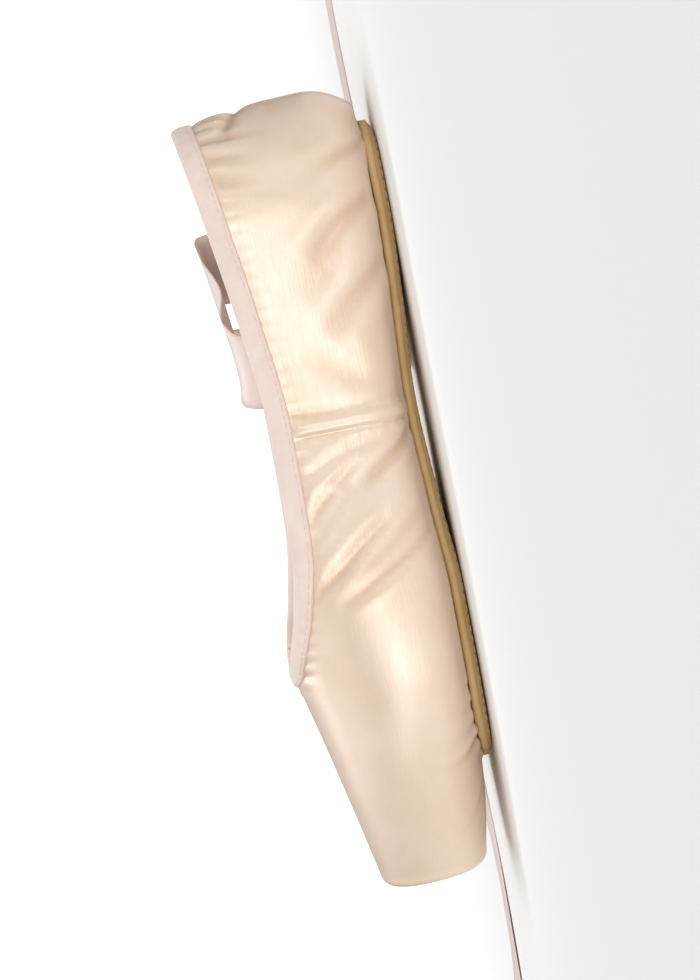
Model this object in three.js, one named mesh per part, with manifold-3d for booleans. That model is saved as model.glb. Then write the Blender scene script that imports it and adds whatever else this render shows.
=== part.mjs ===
import * as THREE from "three";
import { mergeVertices } from "three/addons/utils/BufferGeometryUtils.js";
import Module from "manifold-3d";

// Pointe shoe, millimetres, +X to the toe, +Y to the left, +Z up, floor at z = 0.
// Sizes of the last
const length = 236;
const ballWidth = 80;
const instepHeight = 54;
const heelHeight = 58;
const girthHeight = 20;
const toeGirth = 23;
const heelRound = 34;
const toeEdge = 2.6;
const toeTilt = 0.07;
const toeTop = 36;

// Throat and collar
const throatAt = 168;
const throatReach = 55;
const collarShare = 0.9;

// Walls and gaps
const wall = 1.8;
const gap = 0.3;
const tapeGap = 0.6;
const seamAt = 95;
const seamWidth = 3.2;
const seamRise = 0.6;

// Sole and sock
const soleStart = 11;
const soleEnd = 204;
const soleThick = 2.9;
const soleFlat = 0.35;
const soleBevel = 1.1;
const soleLap = 6;
const sockThick = 1.7;
const sockGap = 0.65;
const sockShare = 0.69;
const sockStart = 10;
const sockEnd = 216;

// Binding and ribbons
const bindingTape = 0.9;
const bindingWidth = 5.6;
const ribbonWidth = 22;
const ribbonThick = 0.6;
const ribbonAt = 77;
const ribbonFarAt = 47;

// Last, a row per section: share of the length, share of the ball width, underside, collar or crown
const lastRows = [
  { at: 0.0, half: 0.7, bottom: 5.2, rim: heelHeight },
  { at: 0.07, half: 0.704, bottom: 3.3, rim: 55.6 },
  { at: 0.15, half: 0.708, bottom: 3.3, rim: 53 },
  { at: 0.26, half: 0.712, bottom: 4.5, rim: 49.6 },
  { at: 0.4, half: 0.738, bottom: 6.5, rim: 46.6 },
  { at: 0.54, half: 0.86, bottom: 4.9, rim: 47 },
  { at: 0.63, half: 0.962, bottom: 3.3, rim: 50 },
  { at: 0.712, half: 1.0, bottom: 3.3, rim: instepHeight },
  { at: 0.8, half: 0.935, bottom: 3.4, rim: 49.4 },
  { at: 0.87, half: 0.835, bottom: 3.9, rim: 45.9 },
  { at: 0.92, half: 0.74, bottom: 5.0, rim: 43.4 },
  { at: 0.966, half: 0.622, bottom: 6.4, rim: 41.2 },
  { at: 1.0, half: 0.52, bottom: 7.7, rim: 39.6 },
];

// Outsole outline, a row per width
const soleRows = [
  { at: 11, half: 18.5 },
  { at: 35, half: 18.5 },
  { at: 60, half: 16.4 },
  { at: 88, half: 15 },
  { at: 115, half: 18 },
  { at: 145, half: 24.2 },
  { at: 168, half: 26.4 },
  { at: 190, half: 25.4 },
  { at: 204, half: 24 },
];

// Ribbon routes on the floor, a row per bend, from the heel back and from the centre line
const rightFloor = [
  { at: 78, side: -64 },
  { at: 92, side: -90 },
  { at: 120, side: -111 },
  { at: 156, side: -120 },
  { at: 192, side: -109 },
  { at: 224, side: -89 },
  { at: 258, side: -80 },
  { at: 292, side: -90 },
  { at: 318, side: -111 },
  { at: 348, side: -129 },
  { at: 374, side: -134 },
];
const leftFloor = [
  { at: 45, side: -64 },
  { at: 29, side: -90 },
  { at: 0, side: -106 },
  { at: -38, side: -107 },
  { at: -68, side: -87 },
  { at: -84, side: -53 },
  { at: -86, side: -16 },
  { at: -74, side: 20 },
  { at: -50, side: 48 },
];

// Smooth curve through one column of a table
function column(rows, key, stretch = 1, scale = 1) {
  const xs = rows.map((row) => row.at * stretch);
  const ys = rows.map((row) => row[key] * scale);
  const last = xs.length - 1;
  const rise = xs.slice(1).map((x, i) => (ys[i + 1] - ys[i]) / (x - xs[i]));
  const slope = xs.map((x, i) => {
    if (i === 0 || i === last || rise[i - 1] * rise[i] <= 0) return 0;
    const before = xs[i] - xs[i - 1];
    const after = xs[i + 1] - xs[i];
    const total = 3 * (before + after);
    return total / ((2 * after + before) / rise[i - 1] + (after + 2 * before) / rise[i]);
  });
  slope[0] = rise[0];
  slope[last] = rise[last - 1];
  return (x) => {
    let i = 0;
    while (i < last - 1 && x > xs[i + 1]) i += 1;
    const step = xs[i + 1] - xs[i];
    const t = Math.min(1, Math.max(0, (x - xs[i]) / step));
    const u = 1 - t;
    const ends = ys[i] * u * u * (1 + 2 * t) + ys[i + 1] * t * t * (3 - 2 * t);
    return ends + step * t * u * (slope[i] * u - slope[i + 1] * t);
  };
}

function smooth(from, to, x) {
  const t = Math.min(1, Math.max(0, (x - from) / (to - from)));
  return t * t * (3 - 2 * t);
}

const plan = column(lastRows, "half", length, ballWidth / 2);
const underside = column(lastRows, "bottom", length);
const rim = column(lastRows, "rim", length);

// Distance from the heel back for a distance along the plan outline
const heelTurn = (heelRound * Math.PI) / 2;
function station(run) {
  const turn = Math.abs(run) / heelRound;
  return turn < Math.PI / 2 ? heelRound * (1 - Math.cos(turn)) : Math.abs(run) - heelTurn + heelRound;
}

function runOf(at) {
  return at < heelRound ? heelRound * Math.acos(1 - at / heelRound) : at - heelRound + heelTurn;
}

// Sizes of the section at one station
function section(run) {
  const at = station(run);
  const turn = Math.min(Math.PI / 2, Math.abs(run) / heelRound);
  const behind = Math.max(0, throatAt - at);
  const ease = 1 - Math.min(1, behind / throatReach);
  const share = behind > 0 ? collarShare * Math.sqrt(Math.max(0, 1 - ease * ease)) : 0;
  const middle = girthHeight + (toeGirth - girthHeight) * smooth(0.75 * length, length, at);
  const half = plan(at) * Math.sin(turn) * Math.sign(run || 1);
  const crown = middle + (rim(at) - middle) / Math.sqrt(1 - share * share);
  const square = smooth(throatAt, length, at);
  const powers = { top: 2 + 0.5 * square, base: 3.5 - 0.9 * square };
  return { at, half, middle, crown, share, low: underside(at), ...powers };
}

// Heel back curve and toe tilt, added along X
function lean(at, z) {
  const fade = Math.max(0, 1 - at / 60) ** 2;
  const above = Math.max(0, (z - girthHeight) / (heelHeight - girthHeight));
  const below = Math.max(0, (girthHeight - z) / 15);
  const tilt = toeTilt * (z - toeTop) * smooth(0.85 * length, length, at);
  return fade * (5 * above * above + 6 * below * below) + tilt;
}

// Point of the outer surface: angle 0 at the crown, a quarter turn at the girth, a half turn underneath
function surface(run, angle, inset = 0, ahead = 0) {
  const s = section(run);
  const across = Math.sin(angle);
  const up = Math.cos(angle);
  const power = up > 0 ? s.top : s.base;
  const reach = up > 0 ? s.crown - s.middle : s.middle - s.low;
  const side = Math.sign(s.half) * Math.sign(across);
  const y = side * Math.max(0, Math.abs(s.half) - inset) * Math.abs(across) ** (2 / power);
  const z = s.middle + Math.sign(up) * (reach - inset) * Math.abs(up) ** (2 / power);
  return new THREE.Vector3(s.at + ahead + lean(s.at + ahead, z) - length / 2, y, z);
}

// Height of the underside at a place across the shoe
function undersideAt(at, y) {
  let from = at;
  let z = 0;
  for (let turn = 0; turn < 6; turn += 1) {
    const s = section(runOf(Math.max(0.5, from)));
    const share = Math.min(1, Math.abs(y / s.half));
    z = s.middle - (s.middle - s.low) * (1 - share ** s.base) ** (1 / s.base);
    from = at - lean(s.at, z);
  }
  return z;
}

const soleWidth = column(soleRows, "half");
function soleHalf(at) {
  const heelEnd = Math.min(1, Math.max(0, (at - soleStart) / 19));
  const toeEnd = Math.min(1, Math.max(0, (soleEnd - at) / 24));
  return soleWidth(at) * Math.sqrt(1 - (1 - heelEnd) ** 2) * Math.sqrt(1 - (1 - toeEnd) ** 2.4);
}

function solidFrom(points, faces) {
  const geometry = new THREE.BufferGeometry();
  const places = points.flatMap((p) => [p.x, p.y, p.z]);
  geometry.setAttribute("position", new THREE.Float32BufferAttribute(places, 3));
  geometry.setIndex(faces.flat());
  return geometry;
}

// Grid of points welded into one skin, with the triangles that keep an area
function skinOf(grids) {
  const points = [];
  const seen = new Map();
  const idOf = (p) => {
    const key = [p.x, p.y, p.z].map((c) => Math.round(c * 1e4)).join();
    if (!seen.has(key)) seen.set(key, points.push(p) - 1);
    return seen.get(key);
  };
  const faces = [];
  for (const grid of grids) {
    const ids = grid.rows.map((row) => row.map(idOf));
    for (let i = 0; i + 1 < ids.length; i += 1) {
      for (let j = 0; j + 1 < ids[i].length; j += 1) {
        const quad = [ids[i][j], ids[i + 1][j], ids[i + 1][j + 1], ids[i][j + 1]];
        if (grid.flip) quad.reverse();
        const [a, b, c, d] = quad;
        const halves = [[a, b, c], [a, c, d]];
        faces.push(...halves.filter((f) => new Set(f).size === 3));
      }
    }
  }
  return { points, faces };
}

function normalsOf({ points, faces }) {
  const normals = points.map(() => new THREE.Vector3());
  for (const [a, b, c] of faces) {
    const ab = points[b].clone().sub(points[a]);
    const ac = points[c].clone().sub(points[a]);
    const area = ab.cross(ac);
    for (const id of [a, b, c]) normals[id].add(area);
  }
  return normals.map((n) => n.normalize());
}

// Solid between a skin and a second set of its points, closed along every open edge
function solidBetween(faces, outer, inner) {
  const count = outer.length;
  const edges = new Set(faces.flatMap(([a, b, c]) => [`${a},${b}`, `${b},${c}`, `${c},${a}`]));
  const walls = [];
  for (const edge of edges) {
    const [a, b] = edge.split(",").map(Number);
    if (edges.has(`${b},${a}`)) continue;
    walls.push([b, a, a + count], [b, a + count, b + count]);
  }
  const back = faces.map(([a, b, c]) => [c + count, b + count, a + count]);
  return solidFrom([...outer, ...inner], [...faces, ...back, ...walls]);
}

function steps(from, to, count) {
  return Array.from({ length: count }, (_, i) => from + ((to - from) * i) / count);
}

// Stations of the upper: close at the heel turn, the seams, the throat and the toe
const seamEdges = [-1.9, -1, 1, 1.9].map((side) => seamAt + (side * seamWidth) / 2.6);
const throatTurns = steps(Math.PI / 2, 0, 9).map((t) => throatAt - throatReach * (1 - Math.cos(t)));
const stations = [
  ...steps(0, heelTurn, 9).map(station),
  ...steps(heelRound, seamEdges[0], 5),
  ...seamEdges,
  105,
  ...throatTurns,
  throatAt,
  ...steps(throatAt + 3, length - toeEdge, 9),
  length - toeEdge,
];
const across = 17;

// Angles of one section from the collar to the sole opening, evenly spaced along it
function sectionAngles(run) {
  const s = section(run);
  const from = Math.asin(s.share);
  const open = soleHalf(s.at) - soleLap;
  const share = open > 1 ? Math.min(1, open / Math.abs(s.half)) : 0;
  const to = Math.PI - Math.asin(share ** (s.base / 2));
  const fine = 160;
  const marks = [0];
  for (let k = 1; k <= fine; k += 1) {
    const here = surface(run, from + ((to - from) * k) / fine);
    const before = surface(run, from + ((to - from) * (k - 1)) / fine);
    marks.push(marks[k - 1] + here.distanceTo(before) + 1e-9);
  }
  return Array.from({ length: across }, (_, j) => {
    const goal = (marks[fine] * j) / (across - 1);
    let k = 1;
    while (k < fine && marks[k] < goal) k += 1;
    const part = (goal - marks[k - 1]) / (marks[k] - marks[k - 1]);
    return from + ((to - from) * (k - 1 + Math.min(1, part))) / fine;
  });
}

const onMiddle = (p) => new THREE.Vector3(p.x, Math.abs(p.y) < 1e-6 ? 0 : p.y, p.z);
const mirrored = (p) => new THREE.Vector3(p.x, -p.y, p.z);

// Upper: half the last, its rounded toe edge and flat platform, mirrored and given a wall
function upperSkin() {
  const rows = stations.map((at) => {
    const run = runOf(at);
    return sectionAngles(run).map((angle) => onMiddle(surface(run, angle)));
  });
  const tipRun = runOf(length - toeEdge);
  const tipAngles = sectionAngles(tipRun);
  for (const turn of [0.35, 0.7, 1.05, Math.PI / 2]) {
    const inset = toeEdge * (1 - Math.cos(turn));
    const ahead = toeEdge * Math.sin(turn);
    rows.push(tipAngles.map((angle) => onMiddle(surface(tipRun, angle, inset, ahead))));
  }
  const edge = rows[rows.length - 1];
  const centre = edge[0].clone().lerp(edge[across - 1], 0.5);
  for (const share of [0.5, 1]) rows.push(edge.map((p) => onMiddle(p.clone().lerp(centre, share))));
  return skinOf([
    { rows, flip: false },
    { rows: rows.map((row) => row.map(mirrored)), flip: true },
  ]);
}

// Raised side seam, fading out under the binding and at the sole
function seamHeight(p) {
  const at = p.x + length / 2;
  const near = 1 - smooth(seamWidth / 2, seamWidth / 2 + 0.9, Math.abs(at - seamAt));
  return seamRise * near * smooth(9, 12, rim(seamAt) - p.z) * smooth(9, 12, p.z);
}

function upperGeometry() {
  const skin = upperSkin();
  const normals = normalsOf(skin);
  const keepMiddle = (p, from) => (from.y === 0 ? new THREE.Vector3(p.x, 0, p.z) : p);
  const inner = skin.points.map((p, i) => keepMiddle(p.clone().addScaledVector(normals[i], -wall), p));
  const outer = skin.points.map((p, i) => p.clone().addScaledVector(normals[i], seamHeight(p)));
  return solidBetween(skin.faces, outer, inner);
}

// Sheet under or inside the last: rows along the shoe, places across as shares of its half width
const sheetPlaces = [-1, -0.93, -0.85, -0.75, -0.62, -0.42, -0.2, 0, 0.2, 0.42, 0.62, 0.75, 0.85, 0.93, 1];
function sheetGeometry(rows, half, topAt, bottomAt) {
  const grid = (height) => rows.map((at) => sheetPlaces.map((place) => {
    const y = place * half(at);
    return new THREE.Vector3(at - length / 2, y, height(at, y));
  }));
  const top = grid(topAt);
  const bottom = grid(bottomAt);
  const skin = skinOf([{ rows: top, flip: false }]);
  const below = new Map(top.flatMap((row, i) => row.map((p, j) => [p, bottom[i][j]])));
  return solidBetween(skin.faces, skin.points, skin.points.map((p) => below.get(p)));
}

// Rows that crowd toward both rounded ends
function sheetRows(from, to, turn, count) {
  const ends = [0.03, 0.12, 0.27, 0.5, 0.75];
  const middle = steps(from + turn, to - turn, count);
  return [...ends.map((e) => from + turn * e), ...middle, ...ends.map((e) => to - turn * e).reverse()]
    .sort((a, b) => a - b);
}

const soleTop = (at, y) => undersideAt(at, y) - gap;
// Bevel round the outsole's lower edge
function bevel(at, y) {
  const end = 1 - Math.min(at - soleStart, soleEnd - at) / 28;
  return soleBevel * smooth(0.85, 1, Math.max(end, Math.abs(y) / soleHalf(at)));
}

const soleBottom = (at, y) => Math.max(0, soleTop(at, y) - soleThick - soleFlat) + bevel(at, y);

// Sock: follows the inner floor of the upper and keeps clear of its wall
function innerFloor(at, y) {
  const slopeY = (undersideAt(at, y + 0.2) - undersideAt(at, y - 0.2)) / 0.4;
  const slopeX = undersideAt(at + 0.5, y) - undersideAt(at - 0.5, y);
  return undersideAt(at, y) + wall * Math.sqrt(1 + slopeY * slopeY + slopeX * slopeX);
}

function sockHalf(at) {
  const heelEnd = Math.min(1, Math.max(0, (at - sockStart) / 20));
  const toeEnd = Math.min(1, Math.max(0, (sockEnd - at) / 30));
  return sockShare * plan(at) * Math.sqrt(1 - (1 - heelEnd) ** 2) * Math.sqrt(1 - (1 - toeEnd) ** 2.6);
}

const sockBottom = (at, y) => innerFloor(at, y) + sockGap;
const sockTop = (at, y) => sockBottom(at, y) + sockThick;

// Collar edge from the throat round the heel and back
function collarRuns() {
  const half = stations.filter((at) => at < throatAt - 0.01).map(runOf);
  const whole = [...half.slice(1).map((run) => -run).reverse(), ...half];
  return [...whole, runOf(throatAt)];
}

// Two directions on the surface at one point of the collar, along the shoe and round the section
function collarFrame(run) {
  const angle = Math.asin(section(run).share);
  const h = 0.05;
  const alongRun = surface(run + h, angle).sub(surface(run - h, angle)).divideScalar(2 * h);
  const round = surface(run, angle + h).sub(surface(run, angle - h)).divideScalar(2 * h);
  return { angle, alongRun, round };
}

// Collar edge points, each with its outward normal and the direction over the edge
function bindingLoop() {
  const runs = collarRuns();
  const edge = runs.map((run) => surface(run, Math.asin(section(run).share)));
  return runs.map((run, i) => {
    const frame = collarFrame(run);
    const next = edge[(i + 1) % edge.length];
    const before = edge[(i + edge.length - 1) % edge.length];
    const along = next.clone().sub(before).normalize();
    const normal = frame.round.clone().cross(frame.alongRun).normalize();
    const outward = new THREE.Vector3(edge[i].x * 0.2, edge[i].y, 12);
    if (normal.dot(outward) < 0) normal.negate();
    const over = along.clone().cross(normal).normalize();
    const inside = new THREE.Vector3(-30, 0, 70).sub(edge[i]);
    if (over.dot(inside) < 0) over.negate();
    return { run, edge: edge[i], normal, over, frame };
  });
}

// Surface point a short way down from the collar edge, with its normal
function below(place, depth) {
  const { run, frame, over } = place;
  const goal = over.clone().multiplyScalar(-depth);
  const aa = frame.alongRun.dot(frame.alongRun);
  const ab = frame.alongRun.dot(frame.round);
  const bb = frame.round.dot(frame.round);
  const ga = frame.alongRun.dot(goal);
  const gb = frame.round.dot(goal);
  const det = aa * bb - ab * ab;
  const stepRun = (ga * bb - gb * ab) / det;
  const stepAngle = (gb * aa - ga * ab) / det;
  const h = 0.03;
  const at = (dr, da) => surface(run + stepRun + dr, frame.angle + stepAngle + da);
  const alongRun = at(h, 0).sub(at(-h, 0));
  const round = at(0, h).sub(at(0, -h));
  const normal = round.cross(alongRun).normalize();
  if (normal.dot(place.normal) < 0) normal.negate();
  return { point: at(0, 0), normal };
}

// Binding: folded tape round the collar edge, its legs following the wall
function bindingGeometry() {
  const loop = bindingLoop();
  const ring = loop.map((place) => {
    const mid = below(place, bindingWidth / 2);
    const low = below(place, bindingWidth);
    const put = (p, n, out, over) => p.clone().addScaledVector(n, out).addScaledVector(place.over, over);
    const far = tapeGap + bindingTape;
    const { edge, normal } = place;
    return [
      put(low.point, low.normal, tapeGap, 0),
      put(low.point, low.normal, far - 0.3, 0),
      put(mid.point, mid.normal, far, 0),
      put(edge, normal, far, tapeGap),
      put(edge, normal, far - 0.5, far),
      put(edge, normal, -wall - far + 0.5, far),
      put(edge, normal, -wall - far, tapeGap),
      put(mid.point, mid.normal, -wall - far, 0),
      put(low.point, low.normal, -wall - far + 0.3, 0),
      put(low.point, low.normal, -wall - tapeGap, 0),
      put(mid.point, mid.normal, -wall - tapeGap, 0),
      put(edge, normal, -wall - tapeGap, gap),
      put(edge, normal, tapeGap, gap),
      put(mid.point, mid.normal, tapeGap, 0),
    ];
  });
  const rows = [...ring, ring[0]].map((row) => [...row, row[0]]);
  const skin = skinOf([{ rows, flip: true }]);
  return solidFrom(skin.points, skin.faces);
}

// Solids that have to be joined
const manifold = await Module();
manifold.setup();

function toManifold(geometry) {
  const bare = mergeVertices(geometry.deleteAttribute("normal").deleteAttribute("uv"), 1e-4);
  const mesh = new manifold.Mesh({
    numProp: 3,
    vertProperties: new Float32Array(bare.attributes.position.array),
    triVerts: new Uint32Array(bare.index.array),
  });
  mesh.merge();
  return new manifold.Manifold(mesh);
}

function fromManifold(body) {
  const mesh = body.getMesh();
  const geometry = new THREE.BufferGeometry();
  geometry.setAttribute("position", new THREE.BufferAttribute(new Float32Array(mesh.vertProperties), 3));
  geometry.setIndex(new THREE.BufferAttribute(new Uint32Array(mesh.triVerts), 1));
  return geometry;
}

// Knot of the drawstring, tucked just behind the throat edge, with two short ends inside
function knotGeometry() {
  const throat = surface(runOf(throatAt), 0);
  const place = new THREE.Vector3(throat.x - tapeGap - bindingTape - 3.3, 0, throat.z - 0.6);
  const knot = new THREE.TorusKnotGeometry(1.35, 0.72, 30, 5, 2, 3).translate(place.x, place.y, place.z);
  let body = toManifold(knot);
  for (const side of [-1, 1]) {
    const route = new THREE.CatmullRomCurve3([
      place.clone().add(new THREE.Vector3(0.2, 1.3 * side, -0.4)),
      place.clone().add(new THREE.Vector3(-1.2, 3.2 * side, -2.2)),
      place.clone().add(new THREE.Vector3(-1.5, 4.4 * side, -6)),
      place.clone().add(new THREE.Vector3(0.5, 5 * side, -10)),
    ]);
    const shape = new THREE.Shape().absarc(0, 0, 0.72, 0, Math.PI * 2);
    const end = new THREE.ExtrudeGeometry(shape, { steps: 5, curveSegments: 3, extrudePath: route });
    body = body.add(toManifold(end));
  }
  return fromManifold(body);
}

// Distance of the outer wall from the middle at a height
function wallAt(at, z) {
  const s = section(runOf(at));
  const share = (z - s.middle) / (z > s.middle ? s.crown - s.middle : s.middle - s.low);
  const power = z > s.middle ? 2 : s.base;
  return s.half * (1 - Math.min(1, Math.abs(share)) ** power) ** (1 / power);
}

// Ribbon: flat strip along a route, each row with the direction of its width
const floorHeight = ribbonThick / 2 + 0.2;
function ribbonGeometry(route, count) {
  const curve = new THREE.CatmullRomCurve3(route.map((row) => row.point), false, "centripetal");
  const places = curve.getSpacedPoints(count);
  for (const p of places) p.z = Math.max(p.z, floorHeight);
  const lengths = curve.getLengths(600);
  const knots = route.map((_, i) => lengths[Math.round((600 * i) / (route.length - 1))]);
  const full = lengths[600];
  const rows = places.map((p, i) => {
    const here = (full * i) / count;
    let k = 0;
    while (k < knots.length - 2 && here > knots[k + 1]) k += 1;
    const share = Math.min(1, (here - knots[k]) / (knots[k + 1] - knots[k]));
    const ahead = places[Math.min(count, i + 1)].clone().sub(places[Math.max(0, i - 1)]).normalize();
    const wide = route[k].wide.clone().lerp(route[k + 1].wide, share);
    wide.addScaledVector(ahead, -wide.dot(ahead)).normalize();
    return { p, wide, flat: ahead.clone().cross(wide).normalize() };
  });
  const layer = (side) => rows.map(({ p, wide, flat }) => [-1, 1].map((edge) =>
    p.clone().addScaledVector(wide, (edge * ribbonWidth) / 2).addScaledVector(flat, (side * ribbonThick) / 2)));
  const top = layer(1);
  const bottom = layer(-1);
  const skin = skinOf([{ rows: top, flip: false }]);
  const under = new Map(top.flatMap((row, i) => row.map((p, j) => [p, bottom[i][j]])));
  return solidBetween(skin.faces, skin.points, skin.points.map((p) => under.get(p)));
}

const clear = tapeGap + bindingTape + gap + ribbonThick / 2;
const rowAt = (at, y, z, turn, dip = 0) => ({
  point: new THREE.Vector3(at - length / 2, y, z),
  wide: new THREE.Vector3(Math.cos(turn), Math.sin(turn), dip),
});
const rimSlope = (at) => (rim(at + ribbonWidth / 2) - rim(at - ribbonWidth / 2)) / ribbonWidth;

// Width direction of each floor row, square to the way the ribbon runs
function floorRows(rows) {
  return rows.map((row, i) => {
    const next = rows[Math.min(rows.length - 1, i + 1)];
    const before = rows[Math.max(0, i - 1)];
    const heading = Math.atan2(next.side - before.side, next.at - before.at);
    return rowAt(row.at, row.side, floorHeight, heading + Math.PI / 2);
  });
}

// Way down the far side, from above the collar to the floor
function wayDown(at) {
  const high = rim(at);
  const dip = rimSlope(at);
  const outside = (z, out) => -wallAt(at, z) - out;
  return [
    rowAt(at, outside(high - 1, clear + 0.9), high - 1, 0, dip),
    rowAt(at, outside(34, clear + 0.2), 34, 0, dip / 2),
    rowAt(at, outside(girthHeight, clear + 0.1), girthHeight, 0),
    rowAt(at, outside(girthHeight, 2.8), 9, 0),
    rowAt(at, outside(girthHeight, 5.8), 2.6, 0),
    rowAt(at, outside(girthHeight, 12), floorHeight, 0),
  ];
}

// Sewn end inside a quarter, up to its collar
function sewnEnd(at, sign) {
  const inside = (z) => sign * (wallAt(at, z) - wall - clear - 2.4);
  return [26, 35, rim(at) - 3].map((z) => rowAt(at, inside(z), z, 0, rimSlope(at)));
}

const nearTop = rim(ribbonAt);
const farTop = rim(ribbonFarAt);
const nearDip = rimSlope(ribbonAt);
const farDip = rimSlope(ribbonFarAt);
const rightRoute = [
  ...sewnEnd(ribbonAt, -1),
  rowAt(ribbonAt, -wallAt(ribbonAt, nearTop) + wall + clear + 1, nearTop + 2.2, 0, nearDip),
  rowAt(ribbonAt, -wallAt(ribbonAt, nearTop) + wall / 2, nearTop + 4, 0, nearDip),
  rowAt(ribbonAt, -wallAt(ribbonAt, nearTop) - clear - 0.4, nearTop + 2.8, 0, nearDip),
  ...wayDown(ribbonAt),
  ...floorRows(rightFloor),
];
const leftRoute = [
  ...sewnEnd(ribbonAt, 1),
  rowAt(ribbonAt - 1, wallAt(ribbonAt, nearTop) - wall - clear - 3.4, nearTop + 2.5, 0, nearDip),
  rowAt(ribbonAt - 6, 12, nearTop + 5.6, -0.3, nearDip),
  rowAt((ribbonAt + ribbonFarAt) / 2, 0, nearTop + 4.6, -0.45, nearDip),
  rowAt(ribbonFarAt + 6, -13, farTop + 4.4, -0.3, farDip),
  rowAt(ribbonFarAt + 1, -wallAt(ribbonFarAt, farTop) + wall + 1.4, farTop + 4.8, 0, farDip),
  rowAt(ribbonFarAt, -wallAt(ribbonFarAt, farTop) - clear - 0.4, farTop + 2.8, 0, farDip),
  ...wayDown(ribbonFarAt),
  ...floorRows(leftFloor),
];

const group = new THREE.Group();
function addPart(name, geometry, color) {
  const mesh = new THREE.Mesh(geometry, new THREE.MeshStandardMaterial({ name, color }));
  mesh.name = name;
  group.add(mesh);
}

const soleGrid = sheetRows(soleStart, soleEnd, 22, 14);
const sockGrid = sheetRows(sockStart, sockEnd, 24, 12);
addPart("upper", upperGeometry(), 0xe8cdaf);
addPart("outsole", sheetGeometry(soleGrid, soleHalf, soleTop, soleBottom), 0xcda564);
addPart("insole", sheetGeometry(sockGrid, sockHalf, sockTop, sockBottom), 0xe9dfcf);
addPart("binding", bindingGeometry(), 0xf0dcd4);
addPart("drawstring_knot", knotGeometry(), 0xead2c8);
addPart("ribbon_left", ribbonGeometry(leftRoute, 76), 0xf2ddd6);
addPart("ribbon_right", ribbonGeometry(rightRoute, 76), 0xf2ddd6);

export default group;
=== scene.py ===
import math

import bpy
import numpy as np
from mathutils import Matrix, Vector


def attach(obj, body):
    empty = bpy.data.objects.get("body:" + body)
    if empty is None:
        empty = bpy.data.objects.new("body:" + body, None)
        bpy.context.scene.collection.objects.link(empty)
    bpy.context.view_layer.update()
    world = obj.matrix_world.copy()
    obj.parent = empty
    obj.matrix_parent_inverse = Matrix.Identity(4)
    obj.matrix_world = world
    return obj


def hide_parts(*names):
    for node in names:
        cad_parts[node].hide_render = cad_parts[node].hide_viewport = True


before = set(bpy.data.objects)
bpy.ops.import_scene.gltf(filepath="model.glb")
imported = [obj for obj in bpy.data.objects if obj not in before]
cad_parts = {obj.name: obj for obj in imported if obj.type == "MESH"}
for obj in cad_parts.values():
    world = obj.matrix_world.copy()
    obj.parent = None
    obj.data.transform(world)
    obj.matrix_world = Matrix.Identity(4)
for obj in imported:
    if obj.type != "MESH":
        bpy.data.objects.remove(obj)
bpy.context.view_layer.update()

scene = bpy.context.scene
scene.view_settings.view_transform = "Standard"
print("stage: frame loaded")

# Camera: the photo's side of the shoe, rolled so that the toe hangs down, kept just above the floor
shot = dict(aim=(0.0, 0.0, 0.027), toHeel=6.0, rise=1.6, roll=11.0, lens=125.0, sensor=36.0, tall=0.292)
heelward, rise, roll = (math.radians(shot[key]) for key in ("toHeel", "rise", "roll"))
back = Vector((-math.sin(heelward) * math.cos(rise), math.cos(heelward) * math.cos(rise), math.sin(rise)))
toeward = (Vector((1, 0, 0)) - back * back.x).normalized()
soleward = back.cross(toeward)
rightward = toeward * math.sin(roll) + soleward * math.cos(roll)
upward = soleward * math.sin(roll) - toeward * math.cos(roll)
cameraData = bpy.data.cameras.new("camera")
cameraData.lens, cameraData.sensor_width = shot["lens"], shot["sensor"]
cameraData.dof.use_dof = False
camera = bpy.data.objects.new("camera", cameraData)
scene.collection.objects.link(camera)
place = Vector(shot["aim"]) + back * (shot["tall"] * shot["lens"] / shot["sensor"])
camera.matrix_world = Matrix.Translation(place) @ Matrix((rightward, upward, back)).transposed().to_4x4()
scene.camera = camera
print("stage: camera")


# Colours are written as on screen and turned to light values here
def light(red, green, blue):
    tone = [c / 255 for c in (red, green, blue)]
    return tuple(c / 12.92 if c < 0.04045 else ((c + 0.055) / 1.055) ** 2.4 for c in tone) + (1.0,)


# Inputs of a node, by name or number: each a plain value, or the socket or node that feeds it
def feed(tree, node, inputs):
    for key, value in inputs.items():
        if isinstance(value, bpy.types.Node):
            value = next(output for output in value.outputs if output.enabled)
        if isinstance(value, bpy.types.NodeSocket):
            tree.links.new(value, node.inputs[key])
        else:
            node.inputs[key].default_value = value


def addNode(tree, kind, inputs=None, **settings):
    node = tree.nodes.new(kind)
    for key, value in settings.items():
        setattr(node, key, value)
    feed(tree, node, inputs or {})
    return node


# Node group with its sockets; gives the tree, what comes in and the node that goes out
def newGroup(name, kind, inputs, outputs):
    tree = bpy.data.node_groups.new(name, kind)
    for way, sockets in (("INPUT", inputs), ("OUTPUT", outputs)):
        for label, socketKind in sockets.items():
            tree.interface.new_socket(name=label, in_out=way, socket_type="NodeSocket" + socketKind)
    return tree, addNode(tree, "NodeGroupInput").outputs, addNode(tree, "NodeGroupOutput")


# Threads: fine streaks along one direction over a finer grain, as a height and a tone
def threadGroup():
    tree, given, end = newGroup(
        "threads", "ShaderNodeTree", dict(Place="Vector", Stretch="Vector", Fineness="Float"),
        dict(Height="Float", Tone="Float"))
    scaled = addNode(tree, "ShaderNodeVectorMath", {0: given["Place"], 1: given["Stretch"]}, operation="MULTIPLY")
    streaks = addNode(tree, "ShaderNodeTexNoise", {"Vector": scaled, "Scale": given["Fineness"], "Detail": 3})
    grain = addNode(tree, "ShaderNodeTexNoise", {"Vector": given["Place"], "Scale": 2600, "Detail": 1})
    mixed = addNode(tree, "ShaderNodeMath", {0: grain, 1: 0.35, 2: streaks}, operation="MULTIPLY_ADD")
    feed(tree, end, dict(Height=mixed, Tone=streaks))
    return tree


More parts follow.
